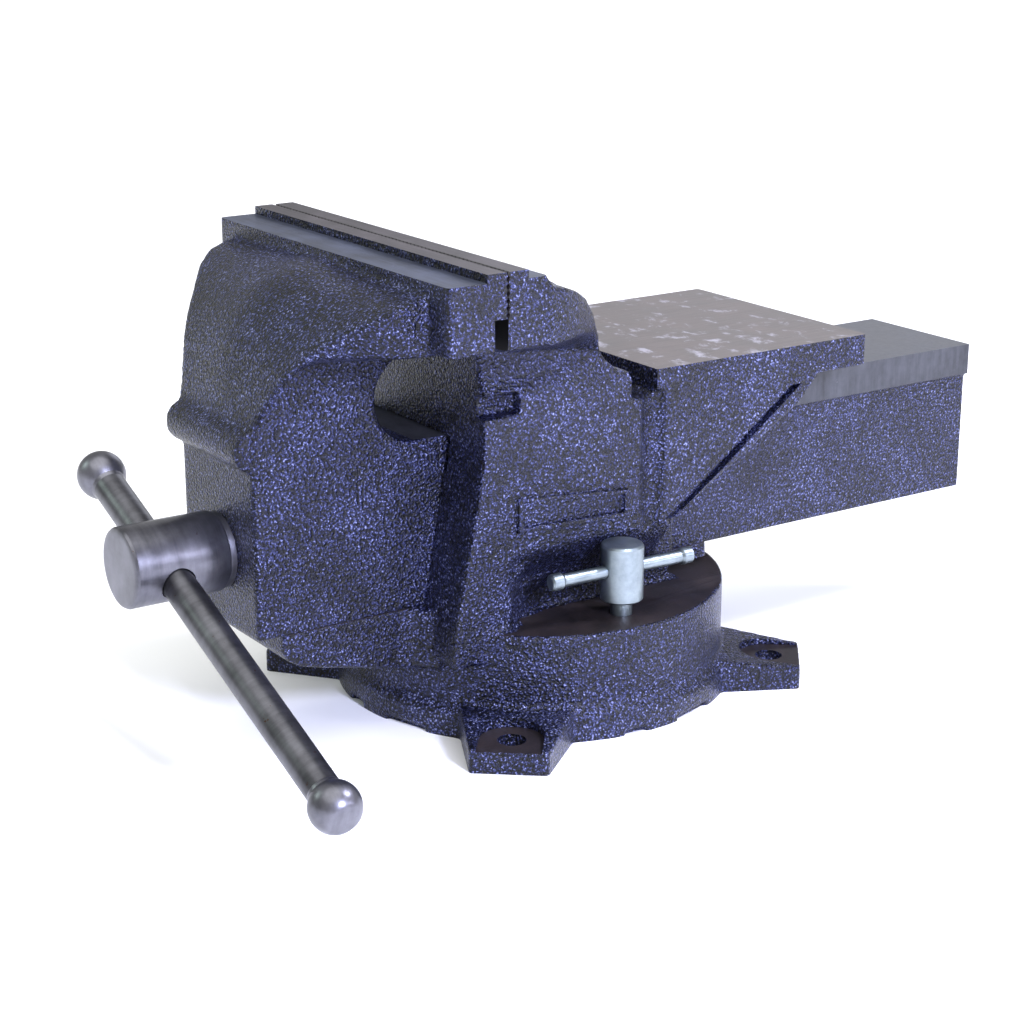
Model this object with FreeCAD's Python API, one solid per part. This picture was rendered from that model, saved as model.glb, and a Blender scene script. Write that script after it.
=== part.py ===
import FreeCAD, Part
import math
import os

# Swivel-base bench vise, millimetres.  Origin: centre of the base underside, on the swivel axis.
# +Z up, -Y the handle side, +Y the tail side.  Jaws closed, every joint at its rest position.

# ---- driving dimensions -------------------------------------------------------------------
JAW_HALF = 100.0        # half the jaw width
JAW_TOP = 218.4         # top of both jaw castings
JAW_BOTTOM = 188.6      # underside of both jaw castings
PLATE_TOP = 222.0       # top of the jaw plates
PLATE_BOTTOM = 202.6
PLATE_THICK = 10.0
GAP_Y = -81.8           # plane on which the jaws meet
LEDGE_Y = -111.0        # front of the moving jaw's ledge
GAP = 0.3               # play left between the closed plates
SLIDE_HALF = 34.0       # half width of the box slide
RAIL_HALF = 36.6        # half width over the machined rails
SLIDE_BOTTOM = 59.2
SLIDE_TOP = 136.6
RAIL_BOTTOM = 121.0
SLIDE_END = 250.0       # tail end of the slide
FRONT_Y = -167.0        # outer face of the front plate
CHANNEL_HALF = 22.0     # half width of the channel inside the slide
CHANNEL_TOP = 122.0
FRONT_WALL = 19.0       # thickness of the front plate
BEAD_R = 9.4            # half-round bead across the front
BEAD_Z = 143.6
SCREW_Z = 92.0          # height of the screw axis
SCREW_R = 13.0
HEAD_R = 18.0
HEAD_FRONT = -215.0
SCREW_END = 215.0
WASHER_THICK = 3.0
BAR_R = 7.5
BAR_Y = -195.0
BAR_DROP = 21.9         # angle of the bar below level, degrees
BAR_UP = 64.0           # bar axis from screw axis to the far ball centre
BAR_DOWN = 159.0        # bar axis from screw axis to the near ball centre
BALL_R = 11.0
BODY_HALF = 65.0        # half width of the column, the walls and the anvil
FLARE_HALF = 60.0       # half width of the column where it narrows under the jaw
ANVIL_TOP = 160.0
ANVIL_FRONT = 23.0
ANVIL_BACK = 150.6
ANVIL_THICK = 15.5
DRUM_R = 91.2
DRUM_TOP = 49.6
JOINT_Z = 25.0          # plane on which the drum turns on the base
JOINT_PLAY = 0.1
BED_TOP = 58.8
BED_FRONT = -155.0
COLUMN_BACK = 9.4
HEEL_HALF = 48.0        # lower rear of the trunk, behind the lock bolts
HEEL_BACK = 48.0
CORE_INNER = 42.0       # cored pockets inside the column sides, open at the joint face
CORE_OUTER = 58.0
BASE_R = 95.5
BASE_BAND = 11.7        # height of the wide lower band of the base
BASE_STEP = 16.0        # height at which the slope reaches the drum radius
LUG_TURN = 5.7          # the swivel rests this far off square, degrees
LUG_OUT = 129.4
LUG_HALF = 17.5
LUG_ROOT_HALF = 29.0
LUG_OUT_Z = 11.0
LUG_ROOT_Z = 16.0
HOLE_PCD_R = 114.6
HOLE_R = 6.5
SPOT_R = 14.6
SLOT_R = 71.0           # radius of the T slot and of the lock bolts
SLOT_NECK_HALF = 5.6
SLOT_HEAD_HALF = 9.0
SLOT_FLOOR = 6.0
SLOT_CEILING = 15.0
PIVOT_R = 10.0
PIVOT_RECESS_R = 22.0
PIVOT_RECESS_Z = 10.0
LOCK_HEAD_R = 10.0
LOCK_NECK_R = 5.0
LOCK_HEAD_Z0 = 56.4
LOCK_HEAD_Z1 = 83.6
TOMMY_R = 3.0
TOMMY_Z = 71.0
TOMMY_HALF = 38.9
TOMMY_TURN = 2.2        # tommy bar off the slide direction, degrees
TOMMY_CAP_R = 4.0
TOMMY_CAP_LONG = 6.5
PLAY = 0.3              # clearance round parts that slide or turn in a casting

V = FreeCAD.Vector
X_AXIS = V(1, 0, 0)
Y_AXIS = V(0, 1, 0)
Z_AXIS = V(0, 0, 1)


# ---- helpers ------------------------------------------------------------------------------
def box(x0, x1, y0, y1, z0, z1):
    return Part.makeBox(x1 - x0, y1 - y0, z1 - z0, V(x0, y0, z0))


def rod(radius, length, start, axis):
    return Part.makeCylinder(radius, length, start, axis)


def hexagon(across_corners, centre):
    turns = [math.radians(60 * n) for n in range(6)]
    return [centre + V(math.cos(turn), math.sin(turn), 0) * (across_corners / 2) for turn in turns]


def prism(points, sweep):
    wire = Part.makePolygon(points + [points[0]])
    return Part.Face(wire).extrude(sweep)


def side_prism(profile, half):
    """Extrude a (y, z) outline symmetrically across the vise."""
    return prism([V(-half, y, z) for y, z in profile], V(2 * half, 0, 0))


def plan_prism(outline, z0, z1):
    return prism([V(x, y, z0) for x, y in outline], V(0, 0, z1 - z0))


def fuse(first, *others):
    return first.multiFuse(list(others)).removeSplitter()


def mirror_x(shape):
    return shape.mirror(V(0, 0, 0), X_AXIS)


def ring(outer, inner, z0, z1):
    centre = V(0, 0, z0)
    return rod(outer, z1 - z0, centre, Z_AXIS).cut(rod(inner, z1 - z0, centre, Z_AXIS))


def wing_section(y, half, lip_z, crown, crown_z, lip, foot_half, foot_z, low_half=None):
    """Closed cross-section of a flared wing: crowned top, side face, underside, narrow foot."""
    low_half = low_half or half
    points = [
        V(-half, y, lip_z),
        V(-crown, y, crown_z),
        V(crown, y, crown_z),
        V(half, y, lip_z),
        V(low_half, y, lip_z - lip),
        V(foot_half, y, foot_z),
        V(-foot_half, y, foot_z),
        V(-low_half, y, lip_z - lip),
    ]
    return Part.makePolygon(points + [points[0]])


def wing_loft(stations):
    return Part.makeLoft([wing_section(*station) for station in stations], True, True)


def save(name, shape):
    shape.exportStep(os.path.join("parts", name + ".step"))


# ---- swivel base --------------------------------------------------------------------------
def make_lug(angle):
    root = DRUM_R - 12
    outline = [
        V(root, -LUG_ROOT_HALF, 0),
        V(LUG_OUT, -LUG_HALF, 0),
        V(LUG_OUT, LUG_HALF, 0),
        V(root, LUG_ROOT_HALF, 0),
    ]
    lug = prism(outline, V(0, 0, LUG_ROOT_Z + 4))
    slope = [
        V(root, -50, LUG_ROOT_Z + 1),
        V(LUG_OUT + 1, -50, LUG_OUT_Z),
        V(LUG_OUT + 1, -50, LUG_ROOT_Z + 6),
        V(root, -50, LUG_ROOT_Z + 6),
    ]
    lug = lug.cut(prism(slope, V(0, 100, 0)))
    upright = [edge for edge in lug.Edges if edge.BoundBox.ZLength > 9 and edge.BoundBox.XMin > LUG_OUT - 1]
    lug = lug.makeFillet(3.0, upright)
    lug.rotate(V(0, 0, 0), Z_AXIS, angle)
    return lug


def lug_cutters(angle):
    """Bolt hole and the round spot face, open at the outer end of the lug."""
    hole = rod(HOLE_R, 40, V(HOLE_PCD_R, 0, -5), Z_AXIS)
    spot = rod(SPOT_R, 20, V(HOLE_PCD_R, 0, LUG_OUT_Z - 0.8), Z_AXIS)
    opening = box(HOLE_PCD_R, LUG_OUT + 5, -SPOT_R, SPOT_R, LUG_OUT_Z - 0.8, LUG_ROOT_Z + 9)
    cutters = [hole, spot, opening]
    for shape in cutters:
        shape.rotate(V(0, 0, 0), Z_AXIS, angle)
    return cutters


def make_base():
    angles = [LUG_TURN + 45 + 90 * n for n in range(4)]
    rim = [
        V(0, 0, 0),
        V(BASE_R, 0, 0),
        V(BASE_R, 0, BASE_BAND),
        V(DRUM_R, 0, BASE_STEP),
        V(DRUM_R, 0, JOINT_Z - JOINT_PLAY),
        V(0, 0, JOINT_Z - JOINT_PLAY),
    ]
    disc = Part.Face(Part.makePolygon(rim + [rim[0]])).revolve(V(0, 0, 0), Z_AXIS, 360)
    base = fuse(disc, *[make_lug(angle) for angle in angles])
    tools = [
        ring(SLOT_R + SLOT_HEAD_HALF, SLOT_R - SLOT_HEAD_HALF, SLOT_FLOOR, SLOT_CEILING),
        ring(SLOT_R + SLOT_NECK_HALF, SLOT_R - SLOT_NECK_HALF, SLOT_FLOOR, JOINT_Z + 1),
        rod(PIVOT_RECESS_R, PIVOT_RECESS_Z, V(0, 0, 0), Z_AXIS),
        rod(PIVOT_R + 0.05, JOINT_Z + 1, V(0, 0, 0), Z_AXIS),
        rod(12.5, SLOT_FLOOR + 1, V(0, -SLOT_R, -0.5), Z_AXIS),
        ring(57.0, 31.0, 0.0, 15.0),
    ]
    for angle in angles:
        tools += lug_cutters(angle)
    for n in range(4):
        scallop = rod(30, 3, V(BASE_R + 24, 0, 0), Z_AXIS)
        scallop.rotate(V(0, 0, 0), Z_AXIS, LUG_TURN + 90 * n)
        tools.append(scallop)
    return base.cut(Part.makeCompound(tools))


# ---- fixed jaw casting --------------------------------------------------------------------
COLUMN_PROFILE = [
    (COLUMN_BACK, JOINT_Z),
    (COLUMN_BACK, 160.8),
    (0.0, 162.6),
    (-5.6, 171.6),
    (-10.4, 183.0),
    (-15.0, 193.0),
    (-22.0, 200.0),
    (-32.0, 206.0),
    (-44.0, 210.8),
    (-57.0, 214.2),
    (-58.6, JAW_TOP),
    (GAP_Y + PLATE_THICK, JAW_TOP),
    (GAP_Y + PLATE_THICK, PLATE_BOTTOM),
    (GAP_Y, PLATE_BOTTOM),
    (GAP_Y, JAW_BOTTOM),
    (-72.0, 184.0),
    (-70.0, 175.0),
    (-70.6, 150.0),
    (-70.4, 134.0),
    (-79.3, 80.0),
    (-84.0, 54.0),
    (-84.0, 38.0),
    (-79.0, 35.0),
    (-60.0, 35.0),
    (-60.0, JOINT_Z),
]


def fixed_wings():
    """The jaw ends sweep back into the column; a stack of narrowing cross-sections."""
    return wing_loft(
        [
            (-60.0, 100.0, 214.4, 60.0, 214.6, 25.4, 60.0, 178.0),
            (-50.0, 97.0, 211.4, 60.0, 211.8, 22.4, 60.0, 177.0),
            (-40.0, 91.0, 207.6, 60.0, 208.4, 19.0, 60.0, 176.0),
            (-30.0, 83.0, 202.4, 58.0, 203.6, 15.0, 60.0, 175.0),
            (-20.0, 74.0, 194.6, 56.0, 196.4, 9.0, 60.0, 173.0),
            (-11.0, 67.0, 182.0, 56.0, 184.0, 4.0, 60.0, 170.0),
            (-5.6, 62.0, 171.0, 56.0, 172.0, 2.0, 60.0, 166.0),
        ]
    )


def side_draft():
    """Wedge that takes the side of the trunk in towards its foot."""
    outline = [(BODY_HALF, 108.0), (BODY_HALF + 2, 108.0), (BODY_HALF + 2, JOINT_Z - 1), (60.3, JOINT_Z - 1)]
    return prism([V(x, -95.0, z) for x, z in outline], V(0, 150, 0))


def lock_alcove():
    """Room beside the trunk in which a lock bolt and its tommy bar swing, open at the rear."""
    slope = [(45.4, DRUM_TOP), (45.4, 64.0), (50.0, 74.0), (58.0, 84.0), (66.0, 89.0)]
    slope += [(110.0, 89.0), (110.0, DRUM_TOP)]
    plan = [(110.0, -54.0), (62.0, -52.0), (52.0, -49.5), (47.4, -45.0), (45.0, -37.0), (45.0, 60.0)]
    plan.append((110.0, 60.0))
    across = prism([V(x, -60.0, z) for x, z in slope], V(0, 130, 0))
    upward = prism([V(x, y, DRUM_TOP - 1) for x, y in plan], V(0, 0, 60))
    return across.common(upward)


def make_fixed_body():
    column = side_prism(COLUMN_PROFILE, BODY_HALF)
    wing_profile = [
        (-58.6, JAW_TOP),
        (GAP_Y + PLATE_THICK, JAW_TOP),
        (GAP_Y + PLATE_THICK, PLATE_BOTTOM),
        (GAP_Y, PLATE_BOTTOM),
        (GAP_Y, JAW_BOTTOM),
        (-60.0, JAW_BOTTOM),
        (-60.0, 214.6),
    ]
    wing = side_prism(wing_profile, JAW_HALF)
    shoulder_profile = [
        (-58.6, JAW_TOP),
        (-61.0, JAW_TOP),
        (-61.0, JAW_BOTTOM),
        (-58.0, JAW_BOTTOM),
        (-58.0, 214.6),
    ]
    shoulder = side_prism(shoulder_profile, JAW_HALF)
    under = wing_loft(
        [
            (-78.0, 100.0, 189.2, 60.0, 189.4, 0.4, 59.0, 182.0),
            (-60.0, 100.0, 190.0, 60.0, 190.2, 0.9, 59.0, 178.0),
        ]
    )
    wall_profile = [
        (-50.0, JOINT_Z + 2),
        (36.0, JOINT_Z + 2),
        (36.0, 87.0),
        (108.0, 131.0),
        (114.0, 137.0),
        (121.0, ANVIL_TOP - ANVIL_THICK),
        (125.0, ANVIL_TOP - ANVIL_THICK + 1),
        (ANVIL_FRONT, 148.0),
        (-50.0, 148.0),
    ]
    walls = side_prism(wall_profile, BODY_HALF)
    trunk = fuse(column, walls).cut(fuse(side_draft(), mirror_x(side_draft())))
    heel = box(-HEEL_HALF, HEEL_HALF, 30.0, HEEL_BACK, JOINT_Z + 2, 92.0)
    drum = rod(DRUM_R, DRUM_TOP - JOINT_Z, V(0, 0, JOINT_Z), Z_AXIS)
    bed_profile = [
        (80.0, JOINT_Z),
        (80.0, BED_TOP),
        (BED_FRONT, BED_TOP),
        (BED_FRONT, 50.0),
        (-152.0, 46.0),
        (-146.0, 42.6),
        (-137.0, 40.0),
        (-107.0, 33.4),
        (-80.0, 28.0),
        (-80.0, JOINT_Z),
    ]
    bed = side_prism(bed_profile, SLIDE_HALF)
    cheek_outline = [(-46.0, -80.0), (-SLIDE_HALF, -96.0), (SLIDE_HALF, -96.0), (46.0, -80.0)]
    cheek = plan_prism(cheek_outline, 31.0, BED_TOP)
    anvil = box(-BODY_HALF, BODY_HALF, ANVIL_FRONT, ANVIL_BACK, ANVIL_TOP - ANVIL_THICK, ANVIL_TOP)
    low_edges = [edge for edge in anvil.Edges if edge.BoundBox.ZMax < ANVIL_TOP - 1]
    anvil = anvil.makeFillet(4.0, [edge for edge in low_edges if edge.BoundBox.YMin > ANVIL_BACK - 1])
    deck = side_prism([(-40.0, 138.0), (ANVIL_FRONT, 138.0), (ANVIL_FRONT, 147.8), (-40.0, 147.8)], BODY_HALF)
    body = fuse(trunk, heel, wing, shoulder, under, fixed_wings(), drum, bed, cheek, anvil, deck)

    notch = box(-BODY_HALF - 1, BODY_HALF + 1, COLUMN_BACK, ANVIL_FRONT, 147.8, ANVIL_TOP + 8)
    tunnel = box(-SLIDE_HALF - PLAY, SLIDE_HALF + PLAY, -120, 200, BED_TOP, SLIDE_TOP + PLAY)
    rails = box(-RAIL_HALF - PLAY, RAIL_HALF + PLAY, -120, 200, RAIL_BOTTOM - PLAY, SLIDE_TOP + PLAY)
    tools = [notch, tunnel, rails]
    for side in (-1, 1):
        outer = side * (BODY_HALF + 1)
        groove = rod(9.0, 79.0, V(side * (BODY_HALF + 5.5), 21.5, 69.0), Z_AXIS)
        relief = prism(
            [
                V(outer, 30.0, 87.4),
                V(outer, 36.6, 87.4),
                V(outer, 110.0, 141.4),
                V(outer, 103.4, 141.4),
            ],
            V(-side * 5.0, 0, 0),
        )
        pocket = box(
            min(side * 58.0, side * (BODY_HALF + 1)),
            max(side * 58.0, side * (BODY_HALF + 1)),
            -75.0,
            -52.0,
            151.0,
            160.0,
        )
        flare = prism(
            [
                V(side * (BODY_HALF + 0.2), -90.0, 157.0),
                V(side * (BODY_HALF - 2.4), -90.0, 163.0),
                V(side * FLARE_HALF, -90.0, 172.0),
                V(side * FLARE_HALF, -90.0, 176.0),
                V(side * (BODY_HALF + 0.2), -90.0, 176.0),
            ],
            V(0, 90.0 + COLUMN_BACK, 0),
        )
        lock_hole = rod(LOCK_NECK_R + PLAY, DRUM_TOP, V(side * SLOT_R, 0, 10), Z_AXIS)
        tools += [groove, relief, pocket, flare, lock_hole]
        neck = box(CORE_INNER, CORE_OUTER - 3, -64.0, -56.0, JOINT_Z - 1, 144.0)
        core = box(CORE_INNER, CORE_OUTER, -64.0, 2.0, 96.0, 144.0)
        hollows = [lock_alcove(), neck, core]
        tools += hollows if side > 0 else [mirror_x(hollow) for hollow in hollows]
    tools.append(box(-28.0, 28.0, -62.0, -24.0, SLIDE_TOP - 1, 180.0))
    for y in NUT_BOLT_Y:
        tools.append(rod(NUT_BOLT_R, 60, V(0, y, 10), Z_AXIS))
        tools.append(rod(NUT_BOLT_HEAD_R + PLAY, 12, V(0, y, JOINT_Z - 1), Z_AXIS))
    tools.append(rod(PIVOT_R, 28, V(0, 0, JOINT_Z - 1), Z_AXIS))
    for x in PLATE_SCREW_X:
        tools.append(rod(PLATE_SCREW_R, PLATE_SCREW_LONG + 1.5, V(x, GAP_Y - 1, PLATE_SCREW_Z), Y_AXIS))
    body = body.cut(Part.makeCompound(tools))
    frame_outer = box(BODY_HALF - 1, BODY_HALF + 1.2, -52.0, 1.0, 93.0, 113.0)
    frame_inner = box(BODY_HALF + 0.2, BODY_HALF + 2, -49.6, -1.4, 95.4, 110.6)
    plaque = frame_outer.cut(frame_inner)
    return body.fuse(plaque).removeSplitter()


# ---- moving jaw casting -------------------------------------------------------------------
def moving_hood():
    """Hood-shaped front: wide at the jaw, narrowing as it comes forward and down."""
    return wing_loft(
        [
            (-96.0, 97.0, 213.4, 22.0, 213.6, 24.6, 34.0, 178.0, 88.0),
            (-110.0, 97.0, 213.2, 22.0, 213.4, 24.8, 34.0, 177.5, 88.0),
            (-117.0, 94.0, 212.6, 22.0, 213.0, 24.6, 34.0, 177.6, 85.0),
            (-126.0, 86.5, 209.4, 21.0, 210.8, 21.6, 34.0, 178.0, 77.5),
            (-134.0, 78.0, 203.8, 20.0, 207.4, 16.2, 34.0, 178.4, 71.0),
            (-141.0, 67.5, 197.2, 20.0, 203.0, 9.8, 34.0, 178.0, 64.6),
            (-147.0, 60.4, 191.2, 19.0, 197.4, 4.2, 34.0, 176.0, 59.0),
            (-152.5, 54.0, 185.6, 18.0, 191.0, 2.6, 34.0, 172.0, 53.0),
            (-158.0, 47.0, 177.0, 17.0, 181.4, 2.2, 34.0, 167.0, 46.4),
            (-163.0, 39.4, 165.0, 16.0, 168.4, 1.6, 34.0, 160.0, 39.0),
            (FRONT_Y, 34.2, 153.6, 16.0, 154.0, 0.6, 34.0, 146.0, 34.1),
        ]
    )


def make_moving_jaw():
    face = GAP_Y - GAP - PLATE_THICK
    jaw_profile = [
        (LEDGE_Y, JAW_BOTTOM),
        (-88.5, JAW_BOTTOM),
        (-88.5, PLATE_BOTTOM),
        (face, PLATE_BOTTOM),
        (face, JAW_TOP),
        (LEDGE_Y, JAW_TOP),
    ]
    jaw = side_prism(jaw_profile, JAW_HALF)
    neck_profile = [
        (-88.5, JAW_BOTTOM + 4),
        (-88.5, JAW_BOTTOM),
        (-92.0, 181.0),
        (-92.0, SLIDE_TOP - 4),
        (-150.0, SLIDE_TOP - 4),
        (-163.0, 148.0),
        (-160.0, 164.0),
        (-150.0, 182.0),
        (-120.0, 200.0),
    ]
    neck = side_prism(neck_profile, SLIDE_HALF)
    slide = box(-SLIDE_HALF, SLIDE_HALF, -150, SLIDE_END, SLIDE_BOTTOM, SLIDE_TOP)
    rails = box(-RAIL_HALF, RAIL_HALF, -88, SLIDE_END, RAIL_BOTTOM, SLIDE_TOP)
    front = box(-SLIDE_HALF, SLIDE_HALF, FRONT_Y, -145, SLIDE_BOTTOM - 0.2, BEAD_Z + BEAD_R)
    bead = rod(BEAD_R, 2 * SLIDE_HALF, V(-SLIDE_HALF, FRONT_Y + 1.5, BEAD_Z), X_AXIS)
    casting = fuse(jaw, neck, moving_hood(), slide, rails, front, bead)
    throat = rod(20.0, 2 * JAW_HALF, V(-JAW_HALF, -86.7, 156.6), X_AXIS)
    tools = [
        throat,
        box(-CHANNEL_HALF, CHANNEL_HALF, FRONT_Y + FRONT_WALL, SLIDE_END + 1, SLIDE_BOTTOM - 1, CHANNEL_TOP),
        box(-CHANNEL_HALF, CHANNEL_HALF, -145.0, -113.0, CHANNEL_TOP - 1, 184.0),
        rod(SCREW_R + PLAY, FRONT_WALL + 10, V(0, FRONT_Y - 5, SCREW_Z), Y_AXIS),
    ]
    for x in PLATE_SCREW_X:
        end = V(x, GAP_Y - PLATE_SCREW_LONG - 2, PLATE_SCREW_Z)
        tools.append(rod(PLATE_SCREW_R, PLATE_SCREW_LONG + 2, end, Y_AXIS))
    return casting.cut(Part.makeCompound(tools))


# ---- jaw plates and their screws ----------------------------------------------------------
PLATE_SCREW_X = (-62.0, 62.0)
PLATE_SCREW_Z = 210.0
PLATE_SCREW_R = 4.0
PLATE_SCREW_HEAD_R = 7.5
PLATE_SCREW_LONG = 21.0
NUT_BOLT_Y = (-54.0, -27.0)
NUT_BOLT_R = 4.0
NUT_BOLT_HEAD_R = 6.5
NUT_FRONT = -66.0
NUT_BACK = -15.0
NUT_HALF = 19.0


def make_jaw_plate(face, sign):
    """Plate with its gripping face at y = face; sign +1 means the casting lies on the +Y side."""
    back = face + sign * PLATE_THICK
    plate = box(-JAW_HALF, JAW_HALF, min(face, back), max(face, back), PLATE_BOTTOM, PLATE_TOP)
    for n in range(49):
        x = -96.0 + 4.0 * n
        tooth = rod(0.7, PLATE_TOP - PLATE_BOTTOM, V(x, face - sign * 0.25, PLATE_BOTTOM), Z_AXIS)
        plate = plate.cut(tooth)
    for x in PLATE_SCREW_X:
        start = V(x, face, PLATE_SCREW_Z)
        plate = plate.cut(rod(PLATE_SCREW_R + PLAY, PLATE_THICK, start, Y_AXIS * sign))
        plate = plate.cut(Part.makeCone(PLATE_SCREW_HEAD_R, PLATE_SCREW_R + PLAY, 4.0, start, Y_AXIS * sign))
    return plate


def make_plate_screws(face, sign):
    screws = []
    for x in PLATE_SCREW_X:
        start = V(x, face + sign * 0.4, PLATE_SCREW_Z)
        head = Part.makeCone(PLATE_SCREW_HEAD_R - 0.8, PLATE_SCREW_R, 3.2, start, Y_AXIS * sign)
        shank = rod(PLATE_SCREW_R, PLATE_SCREW_LONG - 3.2, start + Y_AXIS * (3.2 * sign), Y_AXIS * sign)
        slot = box(x - 6, x + 6, -1, 1, PLATE_SCREW_Z - 0.6, PLATE_SCREW_Z + 0.6)
        slot.translate(V(0, start.y, 0))
        screws.append(head.fuse(shank).removeSplitter().cut(slot))
    return Part.makeCompound(screws)


# ---- nut, pivot and T nuts ----------------------------------------------------------------
def make_nut():
    foot = box(-NUT_HALF, NUT_HALF, NUT_FRONT, NUT_BACK, BED_TOP, SCREW_Z)
    barrel = rod(NUT_HALF, NUT_BACK - NUT_FRONT, V(0, NUT_FRONT, SCREW_Z), Y_AXIS)
    nut = fuse(foot, barrel)
    nut = nut.cut(rod(SCREW_R + 0.05, 200, V(0, -150, SCREW_Z), Y_AXIS))
    for y in NUT_BOLT_Y:
        nut = nut.cut(rod(NUT_BOLT_R, 17, V(0, y, BED_TOP - 1), Z_AXIS))
    return nut


def make_nut_bolts():
    bolts = []
    for y in NUT_BOLT_Y:
        head = rod(NUT_BOLT_HEAD_R, 7.5, V(0, y, JOINT_Z + 3.5), Z_AXIS)
        shank = rod(NUT_BOLT_R, BED_TOP + 15.8 - JOINT_Z - 11, V(0, y, JOINT_Z + 11), Z_AXIS)
        socket = prism(hexagon(6.0, V(0, y, 0)), V(0, 0, JOINT_Z + 7.5))
        bolts.append(head.fuse(shank).removeSplitter().cut(socket))
    return Part.makeCompound(bolts)


def make_pivot_bolt():
    shank = rod(PIVOT_R, 42.0, V(0, 0, 7.0), Z_AXIS)
    head = prism(hexagon(34.6, V(0, 0, 1.0)), V(0, 0, 6.0))
    return fuse(shank, head)


def make_t_nut(side):
    """Nut sliding in the T slot: broad foot under the slot lips, narrow neck in the slot."""
    foot = box(SLOT_R - 8.0, SLOT_R + 7.6, -8.0, 8.0, 6.6, 14.6)
    neck = box(SLOT_R - 5.2, SLOT_R + 4.8, -8.0, 8.0, 14.6, 20.0)
    nut = fuse(foot, neck)
    nut = nut.cut(rod(LOCK_NECK_R - 0.6 + 0.05, 40, V(SLOT_R, 0, 0), Z_AXIS))
    return nut if side > 0 else mirror_x(nut)


# ---- screw and handle ---------------------------------------------------------------------
def bar_direction():
    angle = math.radians(BAR_DROP)
    return V(math.cos(angle), 0, -math.sin(angle))


def make_main_screw():
    head_back = FRONT_Y - WASHER_THICK
    head = rod(HEAD_R, head_back - HEAD_FRONT, V(0, HEAD_FRONT, SCREW_Z), Y_AXIS)
    rims = [edge for edge in head.Edges if edge.BoundBox.YLength < 0.01]
    head = head.makeChamfer(1.6, rims)
    journal = rod(SCREW_R, -head_back - 130, V(0, head_back, SCREW_Z), Y_AXIS)
    thread = rod(SCREW_R, SCREW_END + 130, V(0, -130, SCREW_Z), Y_AXIS)
    tip = Part.makeCone(SCREW_R, SCREW_R - 3, 4, V(0, SCREW_END, SCREW_Z), Y_AXIS)
    screw = fuse(head, journal, thread, tip)
    along = bar_direction()
    bore = rod(BAR_R + PLAY, 80, V(0, BAR_Y, SCREW_Z) - along * 40, along)
    pin_hole = rod(PIN_R, 60, V(0, COLLAR_Y + COLLAR_LONG / 2, SCREW_Z - 30), Z_AXIS)
    return screw.cut(bore).cut(pin_hole)


COLLAR_Y = -147.6
COLLAR_LONG = 12.0
COLLAR_R = 20.0
PIN_R = 2.5


def make_collar():
    collar = rod(COLLAR_R, COLLAR_LONG, V(0, COLLAR_Y, SCREW_Z), Y_AXIS)
    collar = collar.cut(rod(SCREW_R, COLLAR_LONG, V(0, COLLAR_Y, SCREW_Z), Y_AXIS))
    return collar.cut(rod(PIN_R, 60, V(0, COLLAR_Y + COLLAR_LONG / 2, SCREW_Z - 30), Z_AXIS))


def make_collar_pin():
    return rod(PIN_R, 38, V(0, COLLAR_Y + COLLAR_LONG / 2, SCREW_Z - 19), Z_AXIS)


def make_thrust_washer():
    start = V(0, FRONT_Y - WASHER_THICK, SCREW_Z)
    return rod(17.0, WASHER_THICK - 0.2, start, Y_AXIS).cut(rod(SCREW_R, WASHER_THICK, start, Y_AXIS))


def make_handle_bar():
    along = bar_direction()
    start = V(0, BAR_Y, SCREW_Z) - along * BAR_UP
    return rod(BAR_R, BAR_UP + BAR_DOWN, start, along)


def make_ball(distance, outward):
    """Ball end with a flat outer facet, bored for the bar."""
    along = bar_direction()
    centre = V(0, BAR_Y, SCREW_Z) + along * distance
    ball = Part.makeSphere(BALL_R, centre)
    flat = rod(BALL_R, 6, centre + along * (outward * (BALL_R - 2.4)), along * outward)
    inner = centre - along * (outward * BALL_R)
    socket = rod(BAR_R, BALL_R, inner, along * outward)
    return ball.cut(flat).cut(socket)


# ---- lock bolts ---------------------------------------------------------------------------
def turned_about_bolt(shape, side):
    shape.rotate(V(SLOT_R, 0, 0), Z_AXIS, -TOMMY_TURN)
    return shape if side > 0 else mirror_x(shape)


def make_lock_bolt(side):
    head = rod(LOCK_HEAD_R, LOCK_HEAD_Z1 - LOCK_HEAD_Z0, V(SLOT_R, 0, LOCK_HEAD_Z0), Z_AXIS)
    rims = [edge for edge in head.Edges if edge.BoundBox.ZLength < 0.01]
    head = head.makeFillet(1.2, rims)
    neck = rod(LOCK_NECK_R, LOCK_HEAD_Z0 - 21.0, V(SLOT_R, 0, 21.0), Z_AXIS)
    tail = rod(LOCK_NECK_R - 0.6, 14.0, V(SLOT_R, 0, 7.0), Z_AXIS)
    bolt = fuse(head, neck, tail)
    bolt = bolt.cut(rod(TOMMY_R + 0.15, 40, V(SLOT_R, -20, TOMMY_Z), Y_AXIS))
    return turned_about_bolt(bolt, side)


def make_tommy_bar(side):
    bar = rod(TOMMY_R, 2 * TOMMY_HALF - 2, V(SLOT_R, 1 - TOMMY_HALF, TOMMY_Z), Y_AXIS)
    return turned_about_bolt(bar, side)


def make_tommy_caps(side):
    caps = []
    for end in (-1, 1):
        inner = V(SLOT_R, end * (TOMMY_HALF - TOMMY_CAP_LONG), TOMMY_Z)
        cap = rod(TOMMY_CAP_R, TOMMY_CAP_LONG, inner, Y_AXIS * end)
        rims = [edge for edge in cap.Edges if edge.BoundBox.YLength < 0.01]
        cap = cap.makeChamfer(0.8, rims)
        cap = cap.cut(rod(TOMMY_R, TOMMY_CAP_LONG - 1, inner, Y_AXIS * end))
        caps.append(turned_about_bolt(cap, side))
    return Part.makeCompound(caps)


# ---- write one file for each piece --------------------------------------------------------
os.makedirs("parts", exist_ok=True)

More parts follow.
